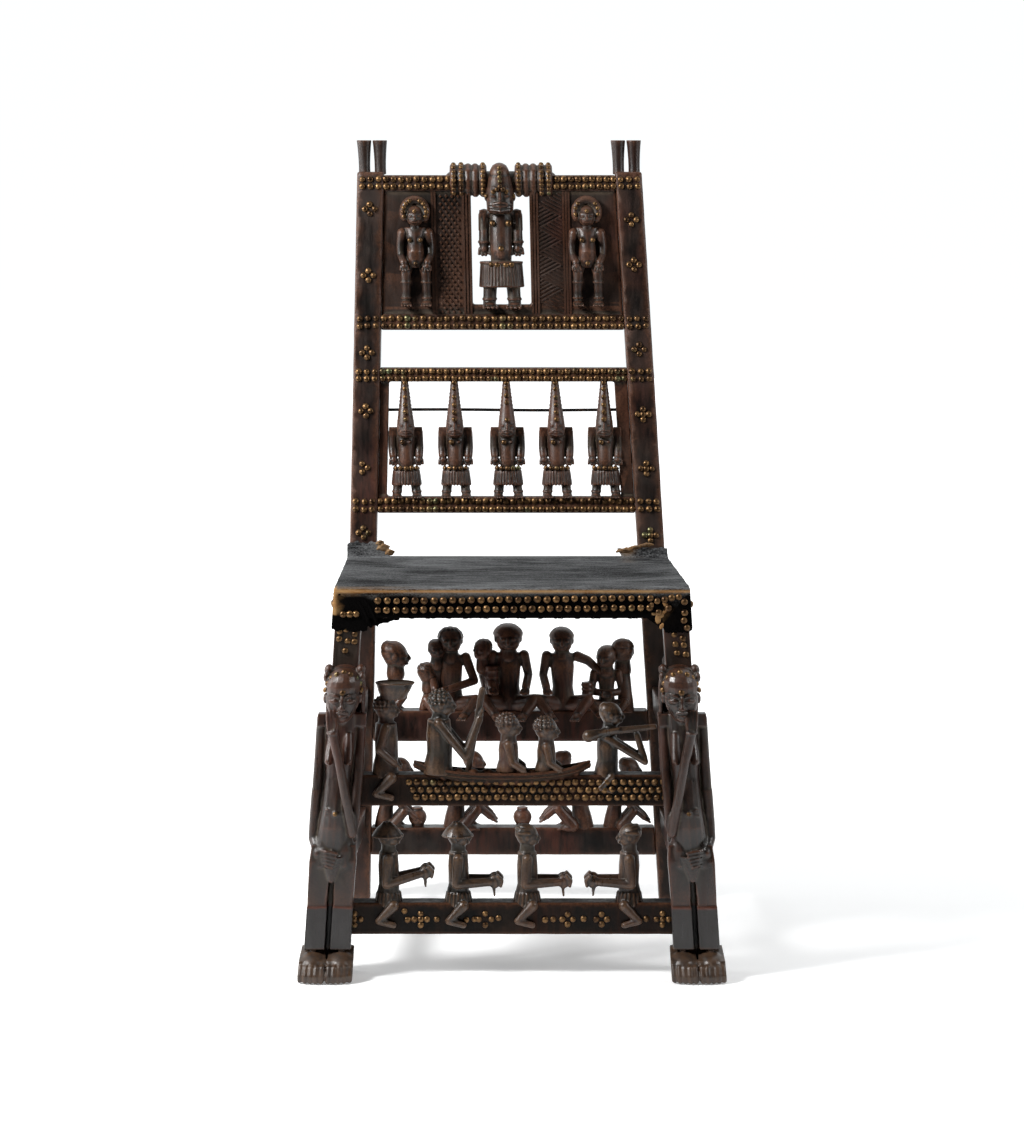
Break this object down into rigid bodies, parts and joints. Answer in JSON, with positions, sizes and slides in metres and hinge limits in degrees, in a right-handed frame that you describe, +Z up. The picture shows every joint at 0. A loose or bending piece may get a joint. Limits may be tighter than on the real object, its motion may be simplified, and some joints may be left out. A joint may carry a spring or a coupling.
{
  "type": "carved throne",
  "caption": "Carved wooden throne with a reclined openwork back, legs and rungs carved as figures, rows of brass tacks and a hide seat nailed over its rails.",
  "frame": {"origin": "middle of the base on the floor, midway between the outermost front, rear, left and right points", "axes": "+Z up, -Y the way the sitter faces, +X to the right as seen from the front"},
  "size_m": [0.48, 0.5592, 0.927],
  "materials": {
    "dark_wood": "old dark patina, rubbed to a soft shine on the high spots",
    "worn_wood": "dark patina with dust in the recesses",
    "hide": "matt black grained hide, tan where its front edge is worn",
    "iron": "dark forged iron",
    "brass": "aged brass of the tacks, dull in the middle of the dome and dark round its edge"
  },
  "bodies": {
    "root": {"front_leg_left": "dark_wood", "front_leg_right": "dark_wood", "back_post_left": "dark_wood", "back_post_right": "dark_wood", "seat_rail_front": "dark_wood", "seat_rail_rear": "dark_wood", "seat_rail_left": "dark_wood", "seat_rail_right": "dark_wood", "side_rung_low_left": "dark_wood", "side_rung_low_right": "dark_wood", "side_rung_middle_left": "dark_wood", "side_rung_middle_right": "dark_wood", "rung_council": "dark_wood", "rung_workers": "dark_wood", "back_panel_upper": "dark_wood", "back_panel_lower": "dark_wood", "rung_masked_figures": "worn_wood", "rung_canoe": "worn_wood", "seat_hide": "hide", "back_rod": "iron"}
  },
  "joints": []
}
